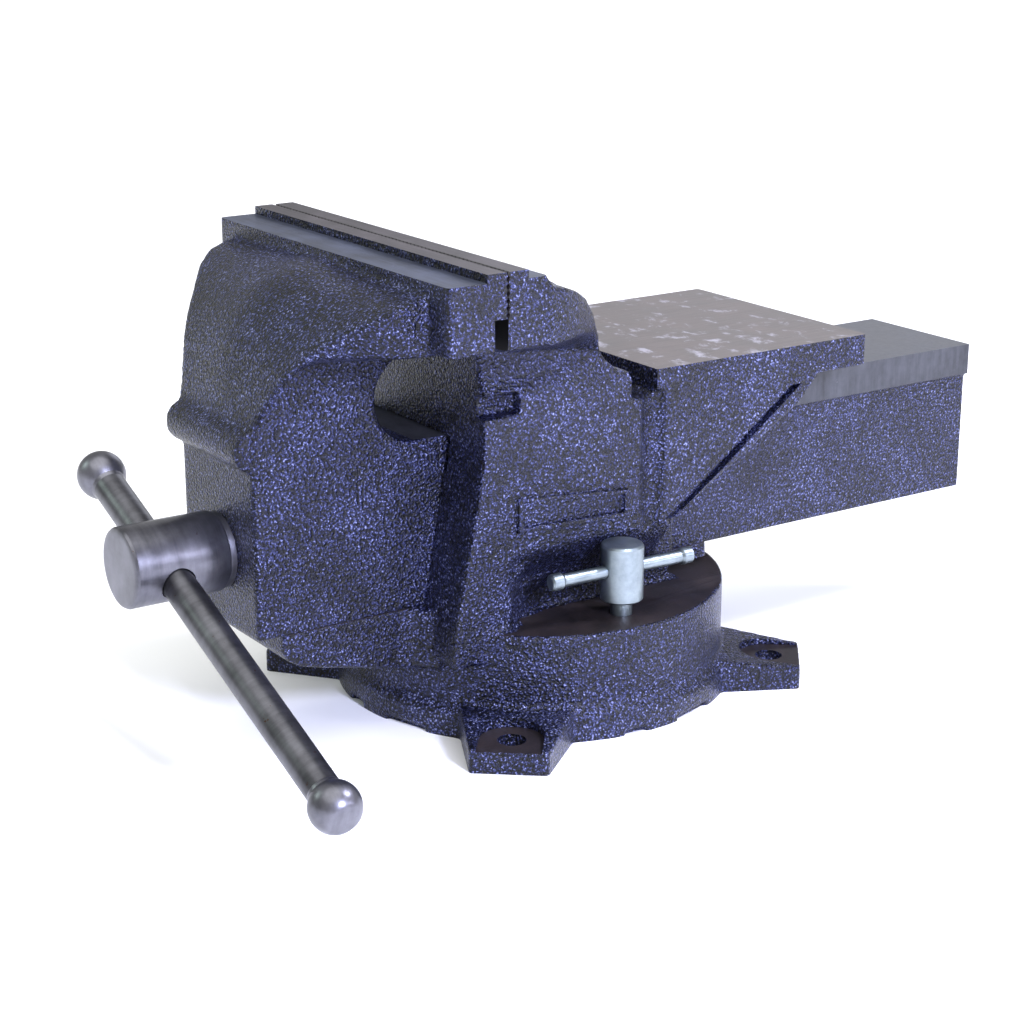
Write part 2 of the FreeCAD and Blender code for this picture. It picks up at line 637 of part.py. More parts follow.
save("swivel_base", make_base())
save("fixed_jaw_body", make_fixed_body())
save("moving_jaw", make_moving_jaw())
save("fixed_jaw_plate", make_jaw_plate(GAP_Y, 1))
save("moving_jaw_plate", make_jaw_plate(GAP_Y - GAP, -1))
save("fixed_plate_screws", make_plate_screws(GAP_Y, 1))
save("moving_plate_screws", make_plate_screws(GAP_Y - GAP, -1))
save("lead_nut", make_nut())
save("nut_bolts", make_nut_bolts())
save("pivot_bolt", make_pivot_bolt())
pivot_face = PIVOT_RECESS_Z
pivot_ring = ring(17.0, PIVOT_R, pivot_face - 3.0, pivot_face)
save("pivot_washer", pivot_ring)
save("main_screw", make_main_screw())
save("thrust_washer", make_thrust_washer())
save("retaining_collar", make_collar())
save("collar_pin", make_collar_pin())
save("handle_bar", make_handle_bar())
save("handle_ball_far", make_ball(-BAR_UP, -1))
save("handle_ball_near", make_ball(BAR_DOWN, 1))
for name, side in (("right", 1), ("left", -1)):
    save("lock_bolt_" + name, make_lock_bolt(side))
    save("tommy_bar_" + name, make_tommy_bar(side))
    save("tommy_caps_" + name, make_tommy_caps(side))
    save("t_nut_" + name, make_t_nut(side))
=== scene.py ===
import math

import bmesh
import bpy
from mathutils import Matrix, Vector


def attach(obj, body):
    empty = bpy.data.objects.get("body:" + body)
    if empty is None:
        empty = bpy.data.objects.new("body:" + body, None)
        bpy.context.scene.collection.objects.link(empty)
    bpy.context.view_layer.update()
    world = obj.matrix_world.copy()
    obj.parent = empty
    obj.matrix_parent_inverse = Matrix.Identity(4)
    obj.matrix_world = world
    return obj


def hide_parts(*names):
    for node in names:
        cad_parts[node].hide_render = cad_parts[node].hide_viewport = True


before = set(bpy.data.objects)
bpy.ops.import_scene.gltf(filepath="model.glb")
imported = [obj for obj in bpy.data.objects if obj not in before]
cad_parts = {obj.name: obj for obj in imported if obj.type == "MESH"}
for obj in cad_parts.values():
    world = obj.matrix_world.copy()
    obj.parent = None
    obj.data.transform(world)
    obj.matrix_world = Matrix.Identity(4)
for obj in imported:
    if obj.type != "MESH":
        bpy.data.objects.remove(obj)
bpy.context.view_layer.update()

# Swivel-base bench vise.  Lengths below are millimetres; meshes are scaled to metres at the end.
MM = 0.001

# ---- sizes shared with the frame --------------------------------------------------------
JAW_HALF = 100.0
JAW_TOP = 218.4
JAW_BOTTOM = 188.6
PLATE_TOP = 222.0
PLATE_BOTTOM = 202.6
GAP_Y = -81.8
GAP_BACK = -88.5
LEDGE_Y = -111.0
BEAD_R = 9.4
PLATE_THICK = 10.0
SLIDE_HALF = 34.0
RAIL_HALF = 36.6
SLIDE_BOTTOM = 59.2
SLIDE_TOP = 136.6
RAIL_BOTTOM = 121.0
SLIDE_END = 250.0
PLAY = 0.3                # running clearance round the slide
FRONT_Y = -167.0
CHANNEL_HALF = 22.0
CHANNEL_TOP = 122.0
BEAD_Z = 143.6
SCREW_Z = 92.0
SCREW_R = 13.0
HEAD_R = 18.0
HEAD_FRONT = -215.0
HEAD_BACK = -170.0
SCREW_END = 215.0
THREAD_PITCH = 6.0
BAR_R = 7.5
BAR_Y = -195.0
BAR_DROP = math.radians(21.9)
BAR_UP = 64.0
BAR_DOWN = 159.0
BALL_R = 11.0
BODY_HALF = 65.0
ANVIL_TOP = 160.0
ANVIL_FRONT = 23.0
ANVIL_BACK = 150.6
ANVIL_UNDER = 144.5
DRUM_R = 91.2
DRUM_TOP = 49.6
JOINT_Z = 25.0
BED_TOP = 58.8
BED_FRONT = -155.0
COLUMN_BACK = 9.4
BASE_R = 95.5
LUG_TURN = 5.7
LUG_OUT = 129.4
HOLE_RING_R = 114.6
LOCK_X = 71.0
TOMMY_Z = 71.0
TOMMY_HALF = 38.9
TOMMY_TURN = math.radians(2.2)

X, Y, Z = range(3)
CAST_GRAIN = 1.1          # spacing of the surface mesh on the castings
CAST_LIMIT = 180000       # most triangles on one casting


# ---- mesh helpers -----------------------------------------------------------------------
def along(axis, where, a, b):
    """Point from two in-plane numbers and the height on an axis."""
    if axis == "x":
        return Vector((where, a, b))
    if axis == "y":
        return Vector((a, where, b))
    return Vector((a, b, where))


def prism(bm, outline, axis, low, high):
    """Closed outline drawn across an axis and extruded along it."""
    face = bm.faces.new([bm.verts.new(along(axis, low, a, b)) for a, b in outline])
    grown = bmesh.ops.extrude_face_region(bm, geom=[face])["geom"]
    moved = [g for g in grown if isinstance(g, bmesh.types.BMVert)]
    bmesh.ops.translate(bm, verts=moved, vec=along(axis, high - low, 0, 0))


def block(bm, x0, x1, y0, y1, z0, z1):
    size = Vector((x1 - x0, y1 - y0, z1 - z0))
    centre = Vector((x0 + x1, y0 + y1, z0 + z1)) / 2
    place = Matrix.Translation(centre) @ Matrix.Diagonal((*size, 1))
    bmesh.ops.create_cube(bm, size=1, matrix=place)


def rod(bm, radius, start, end, segments=64, tip=None):
    start, end = Vector(start), Vector(end)
    axis = end - start
    turn = axis.to_track_quat("Z", "Y").to_matrix().to_4x4()
    bmesh.ops.create_cone(
        bm,
        cap_ends=True,
        segments=segments,
        radius1=radius,
        radius2=radius if tip is None else tip,
        depth=axis.length,
        matrix=Matrix.Translation((start + end) / 2) @ turn,
    )


def loft(bm, sections):
    """Skin a row of closed sections that all have the same number of points."""
    rings = []
    for points in sections:
        verts = [bm.verts.new(p) for p in points]
        rings.append([bm.edges.new((verts[n - 1], verts[n])) for n in range(len(verts))])
    for near, far in zip(rings, rings[1:]):
        bmesh.ops.bridge_loops(bm, edges=near + far)
    for end in (rings[0], rings[-1]):
        bmesh.ops.contextual_create(bm, geom=end)


def tower(bm, rows):
    """Stack of level rectangles: (height, half width, front, back)."""
    loft(
        bm,
        [
            [Vector((x, y, z)) for x, y in ((half, front), (half, back), (-half, back), (-half, front))]
            for z, half, front, back in rows
        ],
    )


def lathe(bm, profile, start, direction, segments=72):
    """Turn a (distance along, radius) profile about a line."""
    direction = Vector(direction).normalized()
    across = direction.orthogonal().normalized()
    start = Vector(start)
    verts = [bm.verts.new(start + direction * d + across * r) for d, r in profile]
    edges = [bm.edges.new(pair) for pair in zip(verts, verts[1:])]
    bmesh.ops.spin(
        bm,
        geom=verts + edges,
        cent=start,
        axis=direction,
        angle=math.tau,
        steps=segments,
        use_merge=True,
    )
    bmesh.ops.remove_doubles(bm, verts=bm.verts, dist=0.001)


def ring(bm, inner, outer, low, height):
    """Square-cornered ring about the swivel axis."""
    profile = [(0, inner), (0, outer), (height, outer), (height, inner), (0, inner)]
    lathe(bm, profile, (0, 0, low), (0, 0, 1))


def turned(bm, pivot, angle, verts=None):
    bmesh.ops.rotate(
        bm, verts=verts or bm.verts, cent=Vector(pivot), matrix=Matrix.Rotation(angle, 3, "Z")
    )


def mirrored(bm):
    """Flip a finished mesh to the other side of the vise."""
    bmesh.ops.scale(bm, verts=bm.verts, vec=(-1, 1, 1))


def to_object(name, bm):
    bmesh.ops.recalc_face_normals(bm, faces=bm.faces)
    bmesh.ops.scale(bm, verts=bm.verts, vec=(MM, MM, MM))
    mesh = bpy.data.meshes.new(name)
    bm.to_mesh(mesh)
    bm.free()
    obj = bpy.data.objects.new(name, mesh)
    bpy.context.scene.collection.objects.link(obj)
    return obj


def settle(obj):
    """Make an object's modifiers its own mesh."""
    bpy.context.view_layer.update()
    graph = bpy.context.evaluated_depsgraph_get()
    mesh = bpy.data.meshes.new_from_object(obj.evaluated_get(graph), depsgraph=graph)
    obj.modifiers.clear()
    old = obj.data
    obj.data = mesh
    bpy.data.meshes.remove(old)
    mesh.name = obj.name


def carve(obj, cutter):
    """Cut the solid in a bmesh away from an object."""
    blade = to_object("tool", cutter)
    cut = obj.modifiers.new("cut", "BOOLEAN")
    cut.operation = "DIFFERENCE"
    cut.solver = "MANIFOLD"
    cut.object = blade
    settle(obj)
    mesh = blade.data
    bpy.data.objects.remove(blade)
    bpy.data.meshes.remove(mesh)


def regrain(obj, rounds):
    """Fuse overlapping solids into one skin with cast fillets and rounded edges."""
    skin = obj.modifiers.new("skin", "REMESH")
    skin.mode = "VOXEL"
    skin.voxel_size = CAST_GRAIN * MM
    if rounds:
        smooth = obj.modifiers.new("smooth", "SMOOTH")
        smooth.factor = 0.5
        smooth.iterations = rounds
    settle(obj)


def finish_shading(obj, angle):
    obj.data.shade_smooth()
    obj.data.set_sharp_from_angle(angle=math.radians(angle))


def cast(name, parts, hollows, milling, rounds=6):
    """A casting: fused parts, cast hollows, rounded skin, then crisp machined cuts."""
    obj = to_object(name, parts)
    regrain(obj, 0)
    for cutter in hollows:
        carve(obj, cutter)
    regrain(obj, rounds)
    triangles = sum(len(p.vertices) - 2 for p in obj.data.polygons)
    if triangles > CAST_LIMIT:
        thin = obj.modifiers.new("thin", "DECIMATE")
        thin.ratio = CAST_LIMIT / triangles
        settle(obj)
    for cutter in milling:
        carve(obj, cutter)
    finish_shading(obj, 32)
    return obj


def tool(make, *args, **words):
    """Cutter mesh from one of the shape helpers."""
    bm = bmesh.new()
    make(bm, *args, **words)
    return bm


# ---- materials --------------------------------------------------------------------------
# Texture scales are cells per metre: 860 gives pebbles of about 1.2 mm, 1500 glints of 0.7 mm.
def linear(hex_colour):
    """sRGB hex to linear RGBA."""
    channels = [int(hex_colour[n : n + 2], 16) / 255 for n in (1, 3, 5)]
    curve = [c / 12.92 if c <= 0.04045 else ((c + 0.055) / 1.055) ** 2.4 for c in channels]
    return (*curve, 1.0)


def node(tree, kind, settings=None, **inputs):
    """Add a node; an input is a value or a (node, output name) link.

    Inputs go by socket name with _ for a space, or by i and the socket's number.
    """
    made = tree.nodes.new(kind)
    for key, value in (settings or {}).items():
        setattr(made, key, value)
    for key, value in inputs.items():
        if key[0] == "i" and key[1:].isdigit():
            socket = made.inputs[int(key[1:])]
        else:
            socket = made.inputs[key.replace("_", " ")]
        if isinstance(value, tuple) and hasattr(value[0], "outputs"):
            tree.links.new(value[0].outputs[value[1]], socket)
        else:
            socket.default_value = value
    return made


def material(name):
    made = bpy.data.materials.new(name)
    made.use_nodes = True
    tree = made.node_tree
    return made, tree, tree.nodes["Principled BSDF"]


def ramp(tree, source, stops):
    made = node(tree, "ShaderNodeValToRGB", Fac=source)
    elements = made.color_ramp.elements
    while len(elements) < len(stops):
        elements.new(0.5)
    for element, (place, colour) in zip(elements, stops):
        element.position = place
        element.color = linear(colour)
    return made


def hammered_enamel(name, pool_shade, mid, crest, painted_glint):
    """Hammertone enamel on sand-cast iron: grey-blue pebbles, painted shade in the dark pools between them,
    lighter painted crests and pin-point glints, partly from the bump and coat and partly painted as pale
    flecks.
    """
    made, tree, shader = material(name)
    place = node(tree, "ShaderNodeTexCoord")
    spot = (place, "Object")
    warp = node(tree, "ShaderNodeTexNoise", Vector=spot, Scale=820.0, Detail=2.0, Roughness=0.55)
    pebble = node(
        tree, "ShaderNodeTexVoronoi", {"feature": "SMOOTH_F1"}, Vector=spot, Scale=860.0, Smoothness=0.7
    )
    fine = node(tree, "ShaderNodeTexNoise", Vector=spot, Scale=1500.0, Detail=1.0, Roughness=0.5)
    broad = node(tree, "ShaderNodeTexNoise", Vector=spot, Scale=30.0, Detail=3.0)
    grain = node(
        tree,
        "ShaderNodeMath",
        {"operation": "MULTIPLY_ADD"},
        i0=(pebble, "Distance"),
        i1=-0.8,
        i2=(warp, "Fac"),
    )
    relief = node(
        tree,
        "ShaderNodeMath",
        {"operation": "MULTIPLY_ADD"},
        i0=(fine, "Fac"),
        i1=0.4,
        i2=(grain, "Value"),
    )
    tone_and_shade = node(
        tree,
        "ShaderNodeMath",
        {"operation": "MULTIPLY_ADD"},
        i0=(broad, "Fac"),
        i1=0.35,
        i2=(relief, "Value"),
    )
    # painted shade and light: the ramp darkens the low relief of the pebbles and lightens their crests up to
    # pale painted glint flecks, on top of the broad random tone
    colour = ramp(tree, (tone_and_shade, "Value"), [(0.3, pool_shade), (0.52, mid), (0.72, crest), (0.93, painted_glint)])
    bump = node(tree, "ShaderNodeBump", Height=(relief, "Value"), Strength=1.0, Distance=0.0008)
    gloss = node(
        tree,
        "ShaderNodeMapRange",
        Value=(fine, "Fac"),
        From_Min=0.3,
        From_Max=0.7,
        To_Min=0.24,
        To_Max=0.42,
    )
    tree.links.new(colour.outputs["Color"], shader.inputs["Base Color"])
    tree.links.new(gloss.outputs["Result"], shader.inputs["Roughness"])
    tree.links.new(bump.outputs["Normal"], shader.inputs["Normal"])
    tree.links.new(bump.outputs["Normal"], shader.inputs["Coat Normal"])
    shader.inputs["Metallic"].default_value = 0.55
    shader.inputs["Coat Weight"].default_value = 0.15
    shader.inputs["Coat Roughness"].default_value = 0.16
    return made


def machined_iron(name, dark, light, smear, stretch, smear_from=0.57, metal=0.4):
    """Ground iron: fine tool lines one way, cloudy stain, pale ragged smears of dried oil."""
    made, tree, shader = material(name)
    place = node(tree, "ShaderNodeTexCoord")
    lines = node(tree, "ShaderNodeMapping", Vector=(place, "Object"), Scale=stretch)
    cuts = node(
        tree,
        "ShaderNodeTexNoise",
        Vector=(lines, "Vector"),
        Scale=700.0,
        Detail=3.0,
        Roughness=0.6,
    )
    cloud = node(
        tree,
        "ShaderNodeTexNoise",
        Vector=(place, "Object"),
        Scale=38.0,
        Detail=7.0,
        Roughness=0.72,
    )
    along_cut = node(tree, "ShaderNodeMapping", Vector=(place, "Object"), Scale=(0.75, 1.0, 1.0))
    streak = node(
        tree,
        "ShaderNodeTexNoise",
        Vector=(along_cut, "Vector"),
        Scale=110.0,
        Detail=9.0,
        Roughness=0.66,
        Distortion=0.35,
    )
    body = node(
        tree,
        "ShaderNodeMath",
        {"operation": "MULTIPLY_ADD"},
        i0=(cuts, "Fac"),
        i1=0.5,
        i2=(cloud, "Fac"),
    )
    base = ramp(tree, (body, "Value"), [(0.55, dark), (0.95, light)])
    mask = node(
        tree,
        "ShaderNodeMapRange",
        Value=(streak, "Fac"),
        From_Min=smear_from,
        From_Max=smear_from + 0.11,
    )
    mix = node(
        tree,
        "ShaderNodeMix",
        {"data_type": "RGBA"},
        i0=(mask, "Result"),
        i6=(base, "Color"),
        i7=linear(smear),
    )
    rough = node(tree, "ShaderNodeMapRange", Value=(cloud, "Fac"), To_Min=0.32, To_Max=0.6)
    bump = node(tree, "ShaderNodeBump", Height=(cuts, "Fac"), Strength=0.35, Distance=0.00012)
    tree.links.new(mix.outputs[2], shader.inputs["Base Color"])
    tree.links.new(rough.outputs["Result"], shader.inputs["Roughness"])
    tree.links.new(bump.outputs["Normal"], shader.inputs["Normal"])
    shader.inputs["Metallic"].default_value = metal
    return made


def turned_steel(name, dark, light, rust_from, tilt=0.0, ringed=(9.0, 1.0, 9.0)):
    """Mild steel from the lathe: fine rings across the axis, dull grime, freckles of rust."""
    made, tree, shader = material(name)
    place = node(tree, "ShaderNodeTexCoord")
    rings = node(
        tree,
        "ShaderNodeMapping",
        {"vector_type": "TEXTURE"},
        Vector=(place, "Object"),
        Rotation=(0.0, tilt, 0.0),
        Scale=ringed,
    )
    cut = node(
        tree,
        "ShaderNodeTexNoise",
        Vector=(rings, "Vector"),
        Scale=1500.0,
        Detail=3.0,
        Roughness=0.7,
    )
    band = node(
        tree,
        "ShaderNodeTexNoise",
        Vector=(rings, "Vector"),
        Scale=260.0,
        Detail=3.0,
        Roughness=0.6,
    )
    grime = node(
        tree,
        "ShaderNodeTexNoise",
        Vector=(place, "Object"),
        Scale=60.0,
        Detail=6.0,
        Roughness=0.6,
    )
    spots = node(
        tree,
        "ShaderNodeTexNoise",
        Vector=(place, "Object"),
        Scale=260.0,
        Detail=4.0,
        Roughness=0.6,
    )
    tone = node(
        tree,
        "ShaderNodeMath",
        {"operation": "MULTIPLY_ADD"},
        i0=(band, "Fac"),
        i1=0.5,
        i2=(grime, "Fac"),
    )
    base = ramp(tree, (tone, "Value"), [(0.45, dark), (1.0, light)])
    rust = node(
        tree, "ShaderNodeMapRange", Value=(spots, "Fac"), From_Min=rust_from, From_Max=rust_from + 0.05
    )
    mix = node(
        tree,
        "ShaderNodeMix",
        {"data_type": "RGBA"},
        i0=(rust, "Result"),
        i6=(base, "Color"),
        i7=linear("#4a3328"),
    )
    rough = node(tree, "ShaderNodeMapRange", Value=(grime, "Fac"), To_Min=0.26, To_Max=0.46)
    bump = node(tree, "ShaderNodeBump", Height=(cut, "Fac"), Strength=0.35, Distance=0.0001)
    tree.links.new(mix.outputs[2], shader.inputs["Base Color"])
    tree.links.new(rough.outputs["Result"], shader.inputs["Roughness"])
    tree.links.new(bump.outputs["Normal"], shader.inputs["Normal"])
    shader.inputs["Metallic"].default_value = 0.95
    return made


# enamel colours in order: painted shade for the pebble hollows, mid tone, lighter painted crests, pale
# painted glints
enamel = hammered_enamel("hammered_enamel", "#050609", "#11142a", "#333a68", "#8d94bd")
machined = machined_iron("ground_iron", "#3a3430", "#5c5450", "#8d8a92", (1.0, 0.06, 1.0), 0.56, 0.15)
rail_iron = machined_iron("rail_iron", "#313236", "#4c4e53", "#6c6e75", (0.5, 0.5, 0.08), 0.66, 0.45)
ground = machined_iron("ground_steel", "#393d47", "#5a6072", "#838a9e", (0.06, 1.0, 1.0), 0.66, 0.6)
plate_steel = machined_iron("plate_steel", "#3a3739", "#5a5558", "#85828c", (0.06, 1.0, 1.0), 0.66, 0.5)
stained = machined_iron("stained_iron", "#0b090b", "#2c2424", "#2a272d", (1.0, 1.0, 1.0), 0.6, 0.1)
steel = turned_steel("turned_steel", "#505055", "#86868e", 0.72)
bar_steel = turned_steel("bar_steel", "#3f3f42", "#6c6c71", 0.68, BAR_DROP, (1.0, 9.0, 9.0))
zinc = turned_steel("zinc_plate", "#717c80", "#9ea9ad", 0.78, 0.0, (1.0, 1.0, 1.0))
dark_steel = turned_steel("oiled_steel", "#232222", "#454342", 0.9)
# near-black painted shade for the faces deep in the gap below the jaw plates, where only shade falls
gap_shade = machined_iron("painted_gap_shade", "#040405", "#0d0d0f", "#141416", (1.0, 1.0, 1.0), 0.7, 0.1)
bronze = turned_steel("bronze", "#6a522c", "#9c7a44", 0.95)


def use(obj, *materials):
    obj.data.materials.clear()
    for made in materials:
        obj.data.materials.append(made)


def mill_marks(obj, planes):
    """Give machined faces their material: (material, axis, place, low corner, high corner)."""
    slots = [obj.data.materials.find(made.name) for made, *_ in planes]
    for face in obj.data.polygons:
        face.material_index = 0
        centre = face.center / MM
        for slot, (_, axis, place, low, high) in zip(slots, planes):
            flat = abs(face.normal[axis]) > 0.995 and abs(centre[axis] - place) < 0.06
            if flat and all(low[n] <= centre[n] <= high[n] for n in range(3)):
                face.material_index = slot


# ---- moving jaw -------------------------------------------------------------------------
def wing(y, half, lip_z, crown, crown_z, lip, foot_half, foot_z, low_half=None):
    """Cross-section of a flared wing: crowned top, side face, hollow underside, narrow foot."""
    low_half = low_half or half
    waist = foot_half + (low_half - foot_half) * 0.5
    waist_z = foot_z + (lip_z - lip - foot_z) * 0.42
    right = [
        (5.0, crown_z + 1.4),
        (crown, crown_z - 0.4),
        ((crown + half) / 2, (crown_z * 0.42 + lip_z * 0.58)),
        (half, lip_z),
        (low_half, lip_z - lip),
        (waist, waist_z),
        (foot_half, foot_z),
    ]
    left = [(-x, z) for x, z in reversed(right)]
    return [Vector((x, y, z)) for x, z in right + left]


HOOD = [
    (-94.0, 84.5, 212.4, 24.0, 213.8, 24.6, 33.0, 178.0, 84.0),
    (-110.0, 84.5, 212.0, 24.0, 213.8, 24.8, 33.0, 177.5, 84.0),
    (-117.0, 84.5, 210.6, 23.0, 213.4, 23.6, 33.0, 177.6, 82.0),
    (-126.0, 83.0, 207.6, 22.0, 211.8, 20.6, 33.0, 178.0, 76.5),
    (-134.0, 77.0, 202.4, 21.0, 208.6, 15.2, 33.0, 178.4, 70.5),
    (-141.0, 67.5, 197.2, 20.0, 203.8, 9.8, 33.0, 178.0, 64.6),
    (-147.0, 60.4, 191.2, 19.0, 198.0, 4.4, 33.0, 176.0, 59.0),
    (-152.5, 54.0, 185.6, 18.0, 191.2, 3.0, 33.0, 172.0, 53.0),
    (-158.0, 47.0, 177.0, 17.0, 181.6, 2.6, 33.0, 167.0, 46.4),
    (-163.0, 39.8, 165.0, 16.0, 168.6, 2.4, 33.0, 160.0, 39.4),
    (-167.0, 34.6, 153.6, 16.0, 154.2, 1.6, 33.0, 146.0, 34.4),
]
THROAT_Y, THROAT_Z, THROAT_R = -86.7, 156.6, 20.0


def make_moving_jaw():
    bm = bmesh.new()
    block(bm, -JAW_HALF, JAW_HALF, LEDGE_Y, -83, JAW_BOTTOM, JAW_TOP + 2)
    loft(bm, [wing(*row) for row in HOOD])
    neck = [
        (-92.0, JAW_BOTTOM + 6),
        (-92.0, SLIDE_TOP - 4),
        (-150.0, SLIDE_TOP - 4),
        (-164.0, 146.0),
        (-161.0, 164.0),
        (-150.0, 184.0),
        (-120.0, 202.0),
    ]
    prism(bm, neck, "x", -SLIDE_HALF, SLIDE_HALF)
    block(bm, -SLIDE_HALF, SLIDE_HALF, FRONT_Y, SLIDE_END + 2, SLIDE_BOTTOM - 1, SLIDE_TOP + 2)
    block(bm, -SLIDE_HALF, SLIDE_HALF, FRONT_Y + 2, -140, SLIDE_TOP, BEAD_Z + 9)
    block(bm, -RAIL_HALF - 1, RAIL_HALF + 1, -60, SLIDE_END + 2, RAIL_BOTTOM, SLIDE_TOP + 2)
    rod(bm, BEAD_R, (-SLIDE_HALF, FRONT_Y + 1.5, BEAD_Z), (SLIDE_HALF, FRONT_Y + 1.5, BEAD_Z))
    hollows = [
        tool(rod, THROAT_R, (-JAW_HALF, THROAT_Y, THROAT_Z), (JAW_HALF, THROAT_Y, THROAT_Z)),
        tool(block, -CHANNEL_HALF, CHANNEL_HALF, -148, SLIDE_END + 9, SLIDE_BOTTOM - 9, CHANNEL_TOP),
    ]
    wide = JAW_HALF + 9
    milling = [
        tool(block, -wide, wide, -130, -70, JAW_TOP, JAW_TOP + 30),
        tool(block, -wide, wide, GAP_Y - PLATE_THICK - 0.3, -60, PLATE_BOTTOM, JAW_TOP + 30),
        tool(block, -wide, wide, GAP_BACK, -60, JAW_BOTTOM - 1.5, PLATE_BOTTOM + 1),
        tool(block, -wide, wide, THROAT_Y, SLIDE_END + 30, SLIDE_TOP, SLIDE_TOP + 30),
        tool(block, -60, -RAIL_HALF, -66, SLIDE_END + 30, RAIL_BOTTOM - 3, SLIDE_TOP + 30),
        tool(block, RAIL_HALF, 60, -66, SLIDE_END + 30, RAIL_BOTTOM - 3, SLIDE_TOP + 30),
        tool(block, -60, 60, SLIDE_END, SLIDE_END + 30, SLIDE_BOTTOM - 30, SLIDE_TOP + 30),
        tool(block, -60, 60, -200, SLIDE_END + 30, SLIDE_BOTTOM - 30, SLIDE_BOTTOM),
        tool(rod, SCREW_R + 0.4, (0, FRONT_Y - 20, SCREW_Z), (0, -130, SCREW_Z)),
    ]
    obj = cast("moving_jaw_casting", bm, hollows, milling)
    use(obj, enamel, rail_iron, ground, gap_shade)
    far = (wide, 300, 300)
    mill_marks(
        obj,
        [
            (ground, Z, JAW_TOP, (-wide, -130, 0), far),
            (rail_iron, Z, SLIDE_TOP, (-60, THROAT_Y, 0), far),
            (rail_iron, X, RAIL_HALF, (0, -68, RAIL_BOTTOM - 3), far),
            (rail_iron, X, -RAIL_HALF, (-60, -68, RAIL_BOTTOM - 3), far),
            # painted shade on the back face of the gap below the plate
            (gap_shade, Y, GAP_BACK, (-wide, -100, JAW_BOTTOM - 2), far),
        ],
    )
    return obj


# ---- fixed jaw, column, drum and anvil --------------------------------------------------
FIXED_WING = [
    (-60.0, 100.0, 213.8, 60.0, 214.0, 25.2, 58.0, 178.0),
    (-50.0, 97.0, 211.2, 60.0, 211.8, 22.4, 58.0, 177.0),
    (-40.0, 91.0, 207.4, 60.0, 208.4, 19.0, 58.0, 176.0),
    (-30.0, 83.0, 202.0, 58.0, 203.6, 15.0, 58.0, 175.0),
    (-20.0, 74.0, 193.6, 56.0, 196.4, 9.0, 58.0, 173.0),
    (-11.0, 66.0, 181.0, 54.0, 184.0, 4.0, 57.0, 170.0),
    (-5.6, 60.0, 170.6, 54.0, 172.0, 2.0, 57.0, 166.0),
]
UNDER_WING = [
    (-80.5, 99.0, 190.0, 60.0, 190.4, 1.0, 57.0, 180.0),
    (-60.0, 99.0, 190.0, 60.0, 190.4, 1.0, 57.0, 178.0),
]
# rows of (height, half width, front, back)
TRUNK_LOW = [(JOINT_Z, 60.3, -60.0, COLUMN_BACK), (37.0, 61.0, -60.0, COLUMN_BACK)]
TRUNK = [
    (36.0, 61.0, -82.6, COLUMN_BACK),
    (38.0, 61.2, -84.0, COLUMN_BACK),
    (54.0, 61.9, -84.0, COLUMN_BACK),
    (80.0, 63.4, -79.3, COLUMN_BACK),
    (108.0, 65.0, -74.6, COLUMN_BACK),
    (134.0, 65.0, -70.4, COLUMN_BACK),
    (150.0, 65.0, -70.6, COLUMN_BACK),
    (157.5, 65.0, -70.4, COLUMN_BACK),
    (160.8, 64.0, -70.4, 8.4),
    (163.0, 62.6, -70.3, 1.5),
    (167.0, 61.2, -70.2, -2.8),
    (171.6, 60.2, -70.1, -5.8),
    (180.0, 59.4, -71.0, -9.0),
]
WALLS = [
    (JOINT_Z + 2, 60.4, -50.0, 36.0),
    (87.0, 63.8, -50.0, 36.0),
    (108.0, 65.0, -50.0, 70.4),
    (131.0, 65.0, -50.0, 108.0),
    (137.0, 65.0, -50.0, 114.0),
    (144.0, 65.0, -50.0, 121.0),
    (148.0, 65.0, -50.0, 125.6),
]
HEEL = [(JOINT_Z + 2, 48.0, 20.0, 48.0), (92.0, 48.0, 20.0, 48.0)]
HEAD = [
    (COLUMN_BACK, 150.0),
    (COLUMN_BACK, 158.0),
    (0.0, 162.6),
    (-5.6, 171.6),
    (-10.4, 183.0),
    (-15.0, 193.0),
    (-22.0, 200.0),
    (-32.0, 206.0),
    (-44.0, 210.8),
    (-58.6, 214.0),
    (-80.0, 214.0),
    (-80.0, 188.8),
    (-72.0, 184.0),
    (-70.0, 175.0),
    (-70.4, 150.0),
]
BED = [
    (80.0, JOINT_Z),
    (80.0, BED_TOP + 1),
    (BED_FRONT, BED_TOP + 1),
    (BED_FRONT, 50.0),
    (-152.0, 46.0),
    (-146.0, 42.6),
    (-137.0, 40.0),
    (-107.0, 33.4),
    (-80.0, 28.0),
    (-80.0, JOINT_Z),
]


GROOVE = [(30.0, 87.4), (36.6, 87.4), (110.0, 141.4), (103.4, 141.4)]
GUTTER_X, GUTTER_Y = 70.5, 21.5  # upright round gutter behind the column
# rows of (y, half width of the trunk left at the foot of the alcove)
ALCOVE = [(-60.0, 64.6), (-52.0, 60.0), (-44.0, 54.0), (-36.0, 48.6), (-28.0, 45.6), (60.0, 45.4)]
ALCOVE_TOP = 90.0


def alcove(side):
    """Room beside the trunk for a lock bolt and its tommy bar, round at the front, open behind."""
    sections = []
    for y, foot in ALCOVE:
        slope = [(foot, DRUM_TOP), (foot, 60.0), (max(foot, 52.0), 70.0), (max(foot, 60.0), 80.0)]
        slope += [(66.4, ALCOVE_TOP), (110.0, ALCOVE_TOP), (110.0, DRUM_TOP)]
        sections.append([Vector((side * x, y, z)) for x, z in slope])
    bm = bmesh.new()
    loft(bm, sections)
    return bm


